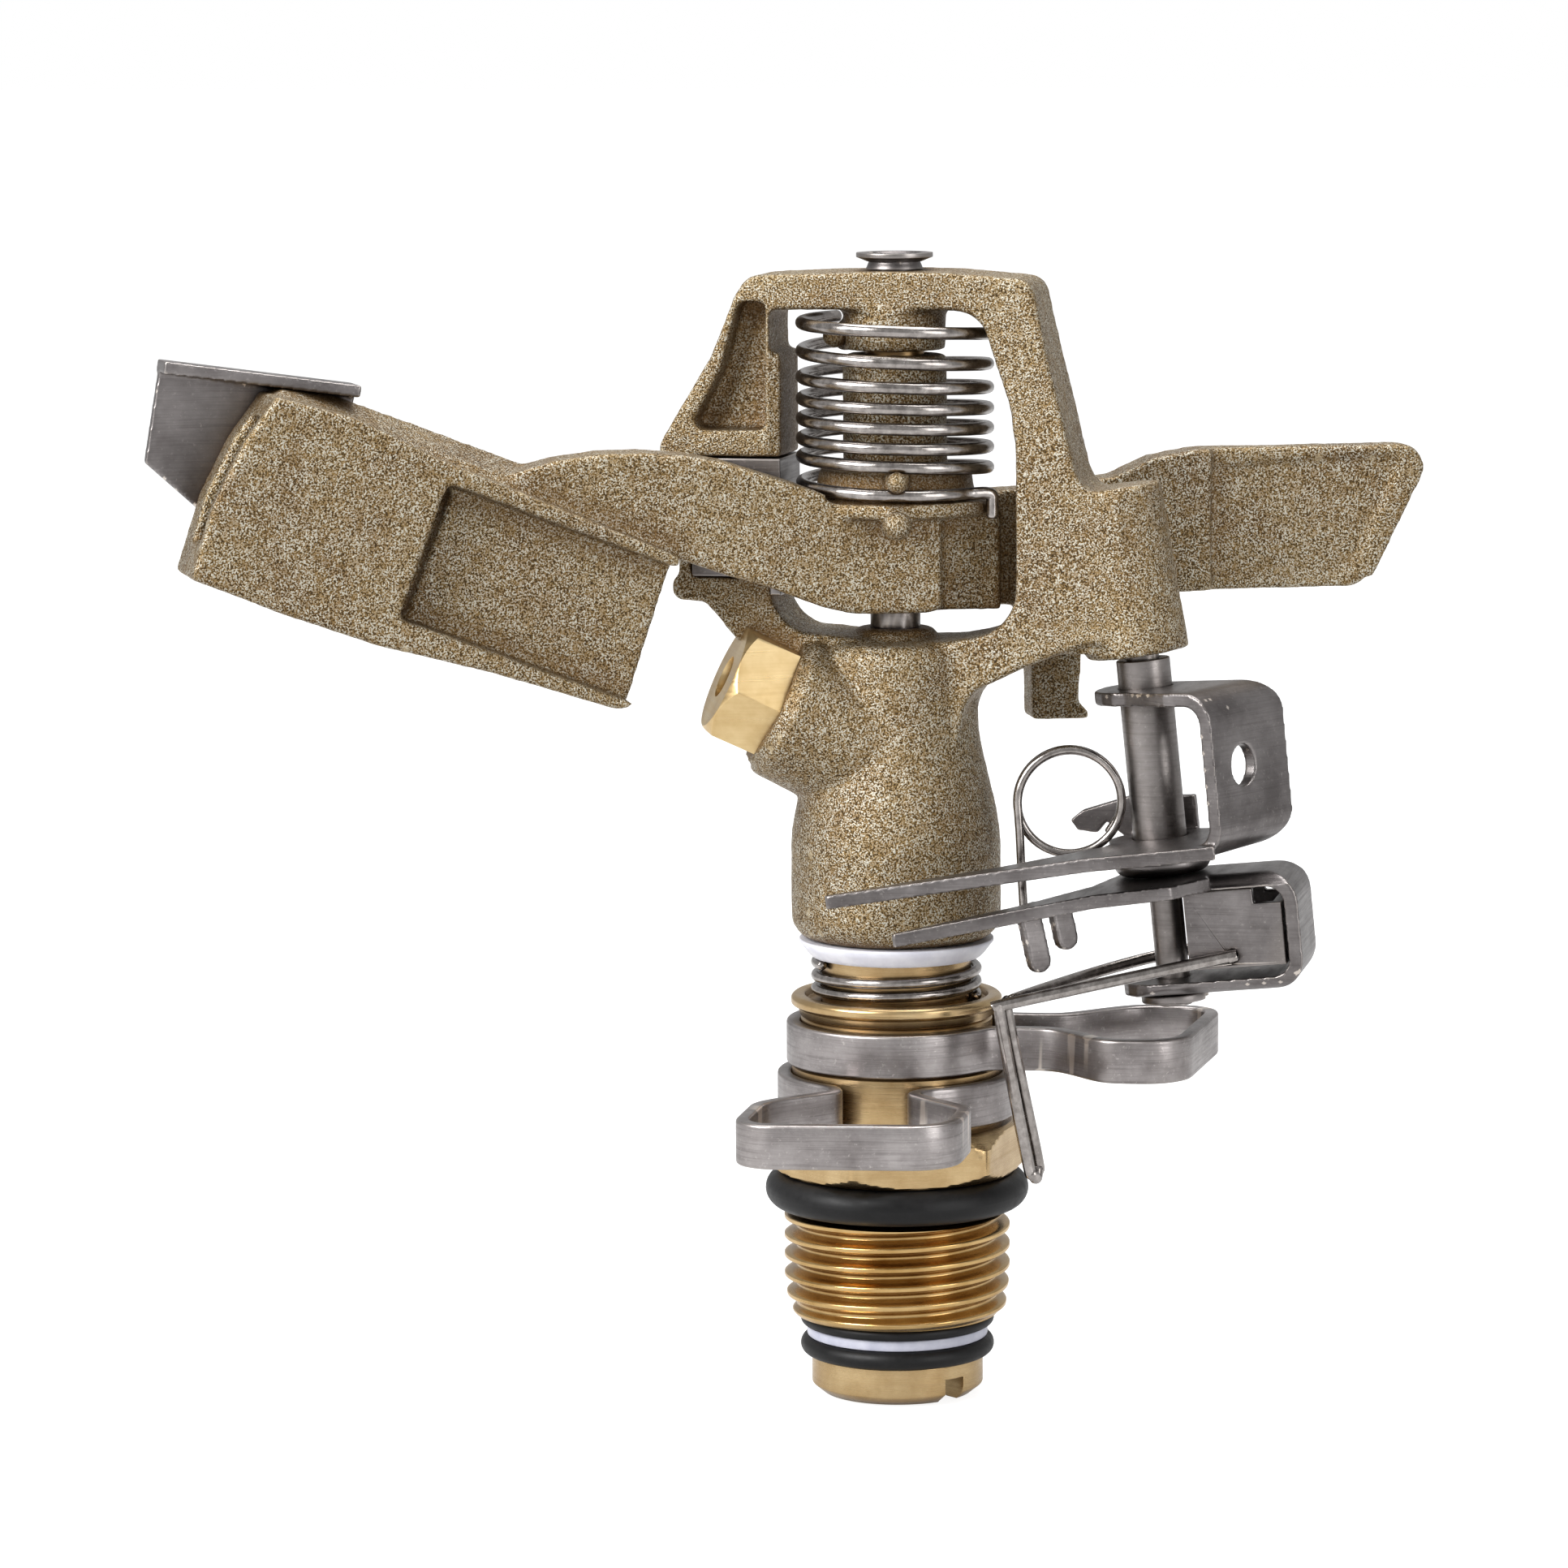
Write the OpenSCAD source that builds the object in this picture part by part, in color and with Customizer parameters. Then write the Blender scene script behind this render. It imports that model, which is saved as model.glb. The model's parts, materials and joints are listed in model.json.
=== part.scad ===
// Part-circle impact sprinkler with a half-inch male inlet.
// Millimetres, +Z up. The origin is on the rotation axis, at the underside
// of the wrench hexagon, where the inlet thread ends and the riser seal sits.
// The bridge over the arm lies in the XZ plane; the nozzle faces -X.

/* [Inlet] */
// Outside diameter of the inlet thread
thread_od = 20.955; // [20.5:0.005:21.2]
// Distance between two thread crests
thread_pitch = 1.814; // [1.6:0.001:2]
// Number of full thread turns
thread_turns = 5; // [4:1:5]
// Wrench size of the inlet hexagon
hex_af = 22; // [21:0.5:24]
// Height of the inlet hexagon
hex_h = 4.7; // [4:0.1:4.8]

/* [Bearing] */
// Outside radius of the sleeve that the arc collars grip
sleeve_r = 8.85; // [8.6:0.05:9]
// Outside radius of the rotating bearing nipple
nipple_r = 6.9; // [6.7:0.05:7]
// Radius of the water way
water_r = 5; // [4:0.1:5.4]
// Radial running clearance of every turning fit
run_gap = 0.05; // [0.02:0.01:0.1]

/* [Head] */
// Largest radius of the head barrel
barrel_r = 9.65; // [9.4:0.05:9.8]
// Depth of the bridge from front to back
bridge_d = 9; // [8:0.5:9.5]
// Rise of the nozzle above horizontal
nozzle_rise = 25; // [20:1:28]
// Plan turn of the nozzle and arm away from the bridge plane
arm_turn = 20; // [18:1:22]
// Wrench size of the nozzle hexagon
nozzle_af = 10; // [9.5:0.5:10.5]

/* [Arm] */
// Radius of the fulcrum pin
fulcrum_r = 2; // [1.8:0.05:2.2]
// Rise of the spoon along its length
spoon_rise = 21.2; // [18:0.2:24]
// Length of the spoon
spoon_len = 41.2; // [40:0.2:42]

/* [Trip mechanism] */
// Outward lean of the trip shaft
trip_lean = 5.7; // [5:0.1:6.5]
// Radius of the trip pin
trip_pin_r = 1.5; // [1.4:0.05:1.6]
// Outside radius of the spacer on the trip pin
spacer_r = 2.45; // [2.3:0.05:2.6]
// Thickness of the stamped trip brackets
strap_t = 1.25; // [1.1:0.05:1.4]
// Diameter of the trip wire
wire_d = 1.1; // [1:0.1:1.3]

/* [Arc collars] */
// Thickness of the collar strap
collar_t = 1.3; // [1.1:0.1:1.5]
// Height of the collar strap
collar_h = 4; // [3.6:0.1:4.1]
// Distance from the axis to the outer wall of a collar ear
ear_reach = 28.6; // [27:0.1:29]
// Plan direction of the upper ear
upper_ear_dir = 4; // [0:1:10]
// Plan direction of the lower ear
lower_ear_dir = -89; // [-96:1:-86]

/* [Hidden] */
$fn = 64;
eps = 0.01;

// Heights of the stack on the rotation axis
seal_cs = 3.3;
seal_mid_z = -seal_cs / 2 - 0.1;
thread_top_z = -3.45;
thread_end_z = -13.5;
thread_h = 0.64 * thread_pitch;
upper_seal_h = 1.1;
slip_h = 1;
lower_seal_h = 1.8;
flange_top_z = thread_end_z - upper_seal_h - slip_h - lower_seal_h;
flange_bot_z = -20.9;
sleeve_top_z = 14.5;
seat_top_z = 16.5;
dust_z = 20;
barrel_bot_z = 21.7;
head_top_z = 49.4;
nipple_top_z = 37;

// Bridge
pin_cap_z = 84.7;
pin_foot_z = 44;
bridge_top_z = 82.8;
window_top_z = 79.6;
window_left = -10.8;
window_right = 11.9;
front_y = -bridge_d / 2;

// Nozzle line: a point on the axis, then a direction
nozzle_z = 38.8;
nozzle_boss_len = 12.4;
nozzle_len = 17.5;
nozzle_root = 5.8;

// Arm
hub_bot_z = 52.3;
hub_r = 5.2;
seat_disc_r = 9.1;
seat_disc_z = 61;
seat_disc_h = 1.5;
hub_top_z = 75.5;
bush_wall = 0.65;
shoulder_z = 50.55;
arm_bore_r = fulcrum_r + run_gap + bush_wall;
beam_front = -6.5;
beam_back = -1.05;

// Arm spring
arm_spring_r = 8.55;
arm_wire_r = 0.58;

// Trip frame
trip_x = 22.9;
trip_z = 48;
ear_z = -2.6;
dog_floor_z = -16.4;
lever_top_z = -19.85;
lever_floor_z = -29.4;
dog_turn = -26;
dog_web_x = 10.8;
lever_web_x = 12.7;
dog_w = 11.9;
lever_w = 10;
pin_end_z = -32;

// Collar
neck_half = 4.3;
ear_half = 10;
ear_corner = 3;
ear_skew = 7;
upper_collar_z = 10.1;
lower_collar_z = 5.3;
lower_grip_r = 9.7;

brass = [0.80, 0.63, 0.35];
bronze = [0.64, 0.53, 0.35];
steel = [0.60, 0.58, 0.59];
rubber = [0.07, 0.07, 0.08];
nylon = [0.86, 0.86, 0.90];

// Points of an arc round c, from angle a to angle b
function arc(c, r, a, b, steps = 8) =
    [for (i = [0 : steps]) let (t = a + (b - a) * i / steps) c + r * [cos(t), sin(t)]];

// Unit vector
function unit(v) = v / norm(v);

// Smooth rise from 0 to 1
function smooth(t) = let (u = min(1, max(0, t))) u * u * (3 - 2 * u);

// Round wire of radius r along a list of points, closed by flat ends
module wire(path, r, sides = 8) {
    n = len(path);
    tangents = [for (i = [0 : n - 1])
        unit(path[min(i + 1, n - 1)] - path[max(i - 1, 0)])];
    function side_of(t, guide) = unit(guide - (guide * t) * t);
    function frames(i, last) = i == n ? [] :
        let (s = side_of(tangents[i], last)) concat([s], frames(i + 1, s));
    start = abs(tangents[0][2]) < 0.9 ? [0, 0, 1] : [1, 0, 0];
    sidev = frames(0, side_of(tangents[0], start));
    points = [for (i = [0 : n - 1], k = [0 : sides - 1])
        let (a = 360 * k / sides)
        path[i] + r * (cos(a) * sidev[i] + sin(a) * cross(tangents[i], sidev[i]))];
    walls = [for (i = [0 : n - 2], k = [0 : sides - 1])
        let (a = i * sides + k, b = i * sides + (k + 1) % sides)
        [a, a + sides, b + sides, b]];
    first = [for (k = [0 : sides - 1]) k];
    last = [for (k = [sides - 1 : -1 : 0]) (n - 1) * sides + k];
    polyhedron(points = points, faces = concat([first], walls, [last]));
}

// Ring with square section
module washer(z, h, r_in, r_out) {
    translate([0, 0, z]) difference() {
        cylinder(r = r_out, h = h);
        translate([0, 0, -1]) cylinder(r = r_in, h = h + 2);
    }
}

// Ring whose outer wall is rounded to a half circle
module round_washer(z, h, r_in, r_out) {
    translate([0, 0, z]) rotate_extrude() {
        translate([r_in, 0]) square([r_out - h / 2 - r_in, h]);
        intersection() {
            translate([r_out - h / 2, h / 2]) circle(r = h / 2);
            translate([r_out - h / 2, 0]) square([h, h]);
        }
    }
}

// Frames of reference
module arm_frame() { rotate([0, 0, arm_turn]) children(); }
module nozzle_frame() {
    translate([0, 0, nozzle_z]) rotate([0, 0, arm_turn]) rotate([0, nozzle_rise - 90, 0]) children();
}
module spoon_frame() {
    translate([-20.35, -12.5, 50.8]) rotate([0, 0, arm_turn + 6.9]) rotate([0, spoon_rise, 0])
        mirror([1, 0, 0]) children();
}
module trip_frame() { translate([trip_x, 0, trip_z]) rotate([0, -trip_lean, 0]) children(); }

// ---- Inlet ----

// Crests with a narrow flat land, roots at the thread depth
module inlet_thread() {
    root_r = thread_od / 2 - thread_h;
    land = 0.3;
    flank = (thread_pitch - 2 * land) / 2;
    run_out = 0.5;
    z_low = thread_end_z;
    crests = [for (i = [0 : thread_turns - 1])
        let (z = thread_top_z - run_out - i * thread_pitch)
        each [[thread_od / 2, z], [thread_od / 2, z - land],
              [root_r, z - land - flank], [root_r, z - 2 * land - flank]]];
    rotate_extrude() polygon(concat(
        [[nipple_r + run_gap, thread_top_z], [root_r, thread_top_z]],
        crests,
        [[root_r, z_low], [nipple_r + run_gap, z_low]]));
}

module bearing_sleeve() {
    corner_r = hex_af / 2 / cos(30);
    color(brass) difference() {
        union() {
            intersection() {
                rotate([0, 0, 22]) cylinder(r = corner_r, h = hex_h, $fn = 6);
                rotate_extrude() polygon([
                    [0, -1], [corner_r - 1.3, -1], [corner_r + 0.5, 0.8], [corner_r + 0.5, hex_h - 1.2],
                    [hex_af / 2 - 0.6, hex_h + 0.3], [0, hex_h + 0.3]]);
            }
            cylinder(r = sleeve_r, h = sleeve_top_z);
            cylinder(r = lower_grip_r, h = upper_collar_z - 0.1);
            translate([0, 0, thread_top_z]) cylinder(r = sleeve_r, h = -thread_top_z + eps);
            inlet_thread();
        }
        translate([0, 0, thread_end_z - 1])
            cylinder(r = nipple_r + run_gap, h = sleeve_top_z - thread_end_z + 2);
    }
}

module riser_seal() {
    color(rubber) translate([0, 0, seal_mid_z]) rotate_extrude()
        translate([12.2 - seal_cs / 2, 0]) circle(r = seal_cs / 2);
}

// Half width of a collar ear at distance s from the axis; the flare starts at s = neck_end
function ear_side(s, neck_end) = neck_half + (ear_half - neck_half) * smooth((s - neck_end) / 8);

// The end wall leans by ear_skew
function skewed(p) = [p[0] - tan(ear_skew) * p[1] * smooth((p[0] - 16) / 8), p[1]];

// Ear outline, drawn in by the distance t
module ear_outline(t, neck_end) {
    s_end = ear_reach - ear_corner;
    s_steps = 14;
    wall = concat([[7, neck_half - t]],
        [for (i = [0 : s_steps]) let (s = neck_end + (s_end - neck_end) * i / s_steps)
            [s, ear_side(s, neck_end) - t]]);
    half = concat(wall, arc([s_end, ear_half - ear_corner], ear_corner - t, 80, 0, 6));
    n = len(half);
    polygon([for (i = [0 : 2 * n - 1])
        skewed(i < n ? half[i] : [half[2 * n - 1 - i][0], -half[2 * n - 1 - i][1]])]);
}

module arc_collar(z, grip_r, neck_end) {
    color(steel) translate([0, 0, z]) difference() {
        union() {
            cylinder(r = grip_r + run_gap + collar_t, h = collar_h);
            linear_extrude(height = collar_h) ear_outline(0, neck_end);
        }
        translate([0, 0, -1]) linear_extrude(height = collar_h + 2)
            ear_outline(collar_t, neck_end);
        translate([0, 0, -1]) cylinder(r = grip_r + run_gap, h = collar_h + 2);
    }
}
module upper_arc_collar() {
    rotate([0, 0, upper_ear_dir]) mirror([0, 1, 0]) arc_collar(upper_collar_z, sleeve_r, 14);
}
module lower_arc_collar() { rotate([0, 0, lower_ear_dir]) arc_collar(lower_collar_z, lower_grip_r, 11); }

// ---- Bearing stack that turns with the head ----

module bearing_nipple() {
    flange_r = 7.95;
    slot_w = 2.2;
    color(brass) difference() {
        rotate_extrude() polygon([
            [water_r + 0.5, flange_bot_z], [flange_r - 1, flange_bot_z],
            [flange_r, flange_bot_z + 0.8], [flange_r, flange_top_z],
            [nipple_r, flange_top_z], [nipple_r, nipple_top_z],
            [water_r, nipple_top_z], [water_r, flange_bot_z + 0.8]]);
        rotate([0, 0, -37]) translate([-10, -slot_w / 2, flange_bot_z - 1])
            cube([20, slot_w, 3.2]);
    }
}
module upper_bearing_seal() {
    color(rubber) round_washer(thread_end_z - upper_seal_h, upper_seal_h, nipple_r + run_gap, 9);
}
module bearing_slip_washer() {
    color(nylon) washer(thread_end_z - upper_seal_h - slip_h, slip_h, nipple_r + run_gap, 8.4);
}
module lower_bearing_seal() {
    color(rubber) round_washer(flange_top_z, lower_seal_h, nipple_r + run_gap, 9);
}
module spring_seat_washer() {
    color(brass) rotate_extrude() polygon([
        [nipple_r + run_gap, sleeve_top_z], [8.9, sleeve_top_z], [9.15, 15.3], [9.75, 15.6],
        [9.75, 16.2], [9.45, seat_top_z], [8.5, seat_top_z], [8.3, 15.8],
        [nipple_r + run_gap, 15.8]]);
}
module bearing_spring() {
    r_wire = 0.46;
    turns = 2.6;
    steps = 24 * turns;
    z0 = 15.8 + r_wire + 0.02;
    rise = dust_z - z0 - r_wire - 0.02;
    color(steel) wire([for (i = [0 : steps]) let (a = 360 * turns * i / steps)
        [7.45 * cos(a), 7.45 * sin(a), z0 + rise * i / steps]], r_wire);
}
module dust_washer() {
    color(nylon) rotate_extrude() polygon([
        [nipple_r + run_gap, dust_z], [7.8, dust_z], [8.2, dust_z + 0.4], [9, barrel_bot_z - 0.25],
        [9, barrel_bot_z], [nipple_r + run_gap, barrel_bot_z]]);
}

// ---- Head ----

module barrel_body() {
    rotate_extrude() polygon(concat(
        [[0, barrel_bot_z]],
        arc([barrel_r - 2.2, barrel_bot_z + 2.2], 2.2, -80, 0, 5),
        [for (i = [0 : 8]) let (z = 30 + 13 * i / 8)
            [barrel_r - 2.1 * smooth((z - 30) / 13), z]],
        [[barrel_r - 2.2, head_top_z - 1], [barrel_r - 3, head_top_z], [0, head_top_z]]));
}

// Side view of the bridge, trip-boss leg and nozzle-side leg
module bridge_outline() {
    polygon(concat(
        [[-6, 38], [-12.4, 47.6], [-16.9, 52.9], [-19.4, 53.1], [-20, 53.6], [-20, 54.8],
         [-19.4, 55.2], [-19.4, 65.6], [-20.8, 66], [-21.3, 66.8], [-20.9, 67.8],
         [-16.3, 75.3], [-13.9, 81.2]],
        arc([-11.8, 80.9], 1.9, 165, 100, 4),
        [[-6, 83], [0, 83.2], [6, 83.1]],
        arc([11.8, 80.7], 1.9, 80, 20, 4),
        [[14.7, 76], [16.1, 70.5], [17, 66.8]],
        arc([20.4, 66.2], 3.2, 180, 250, 4),
        [[21.5, 63.2], [22, 49.4], [18.4, 49.6], [12.5, 47.3], [8.6, 45.4]],
        arc([11, 42.3], 4, 130, 175, 4),
        [[6, 38]]));
}
module window_outline() {
    polygon(concat(
        [[window_left, window_top_z], [window_left, 55]],
        arc([window_left + 4.6, 54.6], 4.6, 185, 250, 5),
        [[-4, head_top_z + 0.6], [0, head_top_z], [6, head_top_z + 0.3]],
        arc([window_right - 4.4, 54.4], 4.4, -80, 0, 5),
        [[window_right, 67], [11.3, 71.3], [10, 75.2]],
        arc([6.4, window_top_z - 3], 3, 20, 90, 4)));
}

// Pocket in the upper corner of the nozzle-side leg, on both faces
module corner_pocket() {
    polygon([[-13.6, 80.4], [-11.2, 80.4], [-11.2, 68.7], [-17.2, 68.7], [-17.8, 69.5], [-15.3, 74.2]]);
}

module head_casting() {
    boss_lean = 8.5;
    pocket_depth = 3;
    color(bronze) difference() {
        union() {
            barrel_body();
            rotate([90, 0, 0]) linear_extrude(height = bridge_d, center = true)
                difference() { bridge_outline(); window_outline(); }
            nozzle_frame() {
                cylinder(r1 = 7.6, r2 = 7, h = nozzle_boss_len - 0.8);
                cylinder(r1 = 7.1, r2 = 6.2, h = nozzle_boss_len);
            }
            translate([0, 0, window_top_z - 3.7]) cylinder(r = 4.7, h = 4);
            // rib above the strike plate
            translate([window_left - 1, front_y + 0.3, 66.2]) cube([2, bridge_d - 0.6, 9.6]);
            translate([-4.6, 0, 77.1]) sphere(r = 1.4);
            translate([trip_x - 0.4, 0, trip_z]) rotate([0, -boss_lean, 0])
                translate([0, 0, 0.4]) cylinder(r1 = 4.7, r2 = 4.3, h = 15.4);
            translate([14.5, front_y + 0.6, 48.6]) cube([6, bridge_d - 1.2, 14.4]);
            translate([0, 0, head_top_z - 1.5])
                cylinder(r1 = 5.4, r2 = 3.4, h = shoulder_z - head_top_z + 1.45);
        }
        for (side = [0, 1]) mirror([0, side, 0]) {
            translate([0, front_y + pocket_depth, 0]) rotate([90, 0, 0])
                linear_extrude(height = pocket_depth + 1) corner_pocket();
            translate([-18.2, front_y - 1, 55.2]) cube([7.4 + eps, 1 + 2.4, 11]);
        }
        // Bearing nipple thread, water way and nozzle thread
        translate([0, 0, barrel_bot_z - 1]) cylinder(r = nipple_r, h = nipple_top_z - barrel_bot_z + 1);
        cylinder(r = water_r, h = nozzle_z + 2);
        nozzle_frame() cylinder(r = 4, h = nozzle_boss_len + 1);
        // Fulcrum pin and trip pin
        translate([0, 0, pin_foot_z]) cylinder(r = fulcrum_r, h = pin_cap_z - pin_foot_z);
        trip_frame() translate([0, 0, -1.5]) cylinder(r = trip_pin_r, h = 10.5);
    }
}

module nozzle() {
    corner_r = nozzle_af / 2 / cos(30);
    color(brass) nozzle_frame() difference() {
        union() {
            translate([0, 0, nozzle_root]) cylinder(r = 4, h = nozzle_boss_len - nozzle_root + eps);
            translate([0, 0, nozzle_boss_len]) intersection() {
                rotate([0, 0, 24]) cylinder(r = corner_r, h = nozzle_len - nozzle_boss_len, $fn = 6);
                cylinder(r1 = corner_r + 4.6, r2 = nozzle_af / 2 - 0.1, h = nozzle_len - nozzle_boss_len);
            }
        }
        translate([0, 0, nozzle_root + 1]) cylinder(r1 = 3.2, r2 = 2, h = nozzle_len - nozzle_root - 2.2);
        translate([0, 0, nozzle_len - 1.3]) cylinder(r = 2, h = 2);
        translate([0, 0, nozzle_root - 1]) cylinder(r = 3.2, h = 2.1);
    }
}

module fulcrum_pin() {
    color(steel) difference() {
        union() {
            translate([0, 0, pin_foot_z]) cylinder(r = fulcrum_r, h = bridge_top_z - pin_foot_z + 1);
            translate([0, 0, shoulder_z]) cylinder(r = fulcrum_r + 0.3, h = hub_bot_z - shoulder_z - 0.05);
            translate([0, 0, 83.25]) cylinder(r1 = 2.6, r2 = 2.3, h = 0.75);
            translate([0, 0, 83.9]) cylinder(r1 = 2.5, r2 = 3.5, h = 0.4);
            translate([0, 0, 84.3]) cylinder(r = 3.5, h = pin_cap_z - 84.3);
        }
        translate([0, 0, pin_cap_z - 1]) cylinder(r1 = 1.7, r2 = 2.6, h = 1.2);
    }
}

// Wear plate wrapped round the nozzle-side leg
module strike_plate() {
    t = 1;
    color(steel) {
        translate([window_left, front_y, 53.6]) cube([t, bridge_d, 12.5]);
        translate([-18.1, front_y, 55.3]) cube([18.1 + window_left + eps, t, 10.8]);
        translate([-18.1, -front_y - t, 55.3]) cube([18.1 + window_left + eps, t, 10.8]);
    }
}

module trip_pin() {
    color(steel) trip_frame() translate([0, 0, pin_end_z])
        cylinder(r = trip_pin_r, h = 9 - pin_end_z);
}
module trip_spacer() {
    color(steel) trip_frame() difference() {
        translate([0, 0, lever_top_z + 0.1]) cylinder(r = spacer_r, h = -lever_top_z - 0.15);
        translate([0, 0, lever_top_z - 1]) cylinder(r = trip_pin_r, h = 24);
    }
}
module trip_thrust_washer() {
    color(steel) trip_frame() round_washer(lever_top_z + 0.1, dog_floor_z - strap_t - lever_top_z - 0.2,
        spacer_r, 4.4);
}
module trip_pin_clip() {
    color(steel) trip_frame() difference() {
        washer(lever_floor_z - strap_t - 0.95, 0.8, trip_pin_r, 3.1);
        translate([0, -0.9, lever_floor_z - strap_t - 2]) cube([5, 1.8, 3]);
    }
}

// ---- Arm ----

// Side view of the arm beam, from the hub out to the spoon
module beam_outline() {
    polygon([[3.3, 52.6], [3.3, 62.4], [-7, 63.2], [-10.6, 64.4], [-13.5, 65.3], [-16.5, 66.3],
        [-20, 67], [-24, 67.3], [-28, 67.2], [-31.6, 66.8], [-36, 65.6], [-36, 62],
        [-27, 60], [-20.2, 57.4], [-16.2, 56], [-12.9, 55.1], [-9.9, 53.9],
        [-7.3, 52.9], [-4.7, hub_bot_z], [1.6, hub_bot_z]]);
}

// Side view of the tail behind the trip boss
module tail_outline() {
    polygon([[0, 52.6], [0, 62], [6, 62.6], [15, 62.8], [21, 63.8], [24.5, 65.4], [28.5, 66.1],
        [30, 66.1], [30, 53], [22, 52.6], [19.2, 52.2], [17.8, 50.4], [17.5, 42.8], [18.4, 42.1],
        [18.4, 41.3], [13.1, 41.3], [12.9, 50.4], [11.4, 52]]);
}
module paddle_outline(inset) {
    polygon(concat(
        [[22.4, 52.9 + inset], [22.4, 64 - inset], [25.5, 65.4 - inset], [29, 66.2 - inset]],
        arc([48.2 - inset, 64], 2.2 - inset / 2, 90, -10, 5),
        [[45.6 - inset, 53.9 + inset / 2]],
        arc([43.4 - inset, 54.6], 1.6 - inset / 2, -30, -90, 4)));
}

module spoon_outline() {
    polygon(concat(
        [[spoon_len - 1, 8.6], [33, 9.2], [25, 8.4], [12, 7.9], [0.7, 7.5]],
        arc([1.6, -5.8], 1.5, 180, 270, 4),
        [[14, -8], [24, -9.1], [33.5, -9.3], [spoon_len + 0.6, -9.1], [spoon_len + 1, -2],
         [spoon_len + 0.3, 4]]));
}

// Channel of the spoon: open at the right half of the front and at both ends
module spoon() {
    half_d = 4.4;
    wall = 1.5;
    spoon_frame() difference() {
        union() {
            rotate([90, 0, 0]) linear_extrude(height = 2 * half_d, center = true) spoon_outline();
            rotate([90, 0, 90]) translate([0, 0, 6]) linear_extrude(height = spoon_len - 8)
                polygon([[-0.6, 6], [-0.6, 8.8], [half_d - 0.05, 10.6], [half_d - 0.05, 6]]);
        }
        // step under the folded lip of the deflector
        translate([31.8, 1.1, 10.95]) rotate([0, 13, 0]) cube([20, 6, 4]);
        // recess in front of the right half
        translate([-5.8, -half_d - 2, -6.2]) rotate([0, 0, 2]) cube([28.9, half_d + 0.15, 12.7]);
        // stream passage behind the front wall of the left half
        translate([21.8, -half_d + wall, -5.9]) cube([30, half_d + 0.7 - wall, 12.2]);
        // stream way in at the back of the right half
        translate([-2, 1.2, -4.6]) cube([17, 4, 9.4]);
    }
}

module arm_casting() {
    color(bronze) difference() {
        union() {
            translate([0, 0, hub_bot_z]) cylinder(r = hub_r, h = 10);
            translate([0, 0, seat_disc_z]) cylinder(r = seat_disc_r, h = seat_disc_h);
            translate([0, 0, seat_disc_z + seat_disc_h]) cylinder(r1 = 7.4, r2 = 6.9, h = 2.6);
            translate([0, 0, seat_disc_z + 3]) cylinder(r = 4.75, h = hub_top_z - seat_disc_z - 3);
            arm_frame() {
                translate([0, beam_back, 0]) rotate([90, 0, 0])
                    linear_extrude(height = beam_back - beam_front) beam_outline();
                translate([0, 6.4, 0]) rotate([90, 0, 0]) linear_extrude(height = 4.6) tail_outline();
                translate([1, -3.2, hub_bot_z - 0.1]) cube([8.4, 7, 9.6]);
                translate([0, 5.6, 0]) rotate([90, 0, 0]) linear_extrude(height = 2.2) paddle_outline(0);
                translate([0, 6.1, 0]) rotate([90, 0, 0]) linear_extrude(height = 3.2)
                    difference() { paddle_outline(0); paddle_outline(1.7); }
            }
            rotate([0, 0, -78]) {
                translate([8.6, 0, 60]) cylinder(r = 1.25, h = 2);
                translate([7.7, 0, seat_disc_z]) cylinder(r = 1.15, h = 4.1);
            }
            spoon();
        }
        // groove for the lowest coil of the spring
        rotate_extrude() translate([arm_spring_r, seat_disc_z + seat_disc_h + arm_wire_r + 0.02])
            circle(r = arm_wire_r + 0.12);
        translate([0, 0, seat_disc_z + seat_disc_h]) difference() {
            cylinder(r = arm_spring_r + arm_wire_r + 0.5, h = 3);
            translate([0, 0, -1]) cylinder(r = arm_spring_r - arm_wire_r - 0.1, h = 5);
        }
        translate([0, 0, hub_bot_z - 1]) cylinder(r = arm_bore_r, h = 26);
    }
}

module arm_bushings() {
    color(brass) for (z = [hub_bot_z, hub_top_z - 8.6])
        washer(z, 9, fulcrum_r + run_gap, arm_bore_r);
}

module stream_deflector() {
    t = 1.1;
    plane_v = 4.45;
    color(steel) spoon_frame() {
        difference() {
            translate([0, plane_v + t, 0]) rotate([90, 0, 0]) linear_extrude(height = t)
                polygon([[32, 11.9], [49.4, 7.9], [47.6, -1], [41.4, -3.4], [30, -2.6]]);
            for (u = [34, 39.5]) translate([u, plane_v - 1, 2.2]) rotate([-90, 0, 0])
                cylinder(r = 1.2, h = 4);
        }
        translate([32, plane_v - 3.2, 11]) rotate([0, 13, 0]) cube([17.8, 3.2 + t, t]);
    }
}
module deflector_rivets() {
    color(steel) spoon_frame() for (u = [34, 39.5]) translate([u, 2.6, 2.2]) rotate([-90, 0, 0]) {
        cylinder(r = 1.2, h = 3);
        translate([0, 0, 2.95]) cylinder(r1 = 2.1, r2 = 1.3, h = 0.9);
    }
}

// Torsion spring between the bridge and the arm, ends hooked at each side
module arm_spring() {
    coils = 7.4;
    z_low = seat_disc_z + seat_disc_h + arm_wire_r + 0.02;
    rise = [[0, 0], [1, 2.7], [2, 4.3], [3, 6.1], [4, 7.9], [5, 9.8], [6, 12], [7, 14.9], [coils, 15.5]];
    per_turn = 20;
    lead_in = 3;
    hook_r = seat_disc_r + arm_wire_r + 0.25;
    color(steel) wire(concat(
        [for (z = [z_low - 2.2, z_low - 1.2]) [hook_r * cos(-16), hook_r * sin(-16), z],
         [hook_r * cos(-17), hook_r * sin(-17), z_low]],
        [for (i = [-lead_in : coils * per_turn])
            let (turn = i / per_turn, a = -78 - 360 * turn)
            [arm_spring_r * cos(a), arm_spring_r * sin(a), z_low + lookup(turn, rise)]]), arm_wire_r);
}

// ---- Trip mechanism ----

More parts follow.
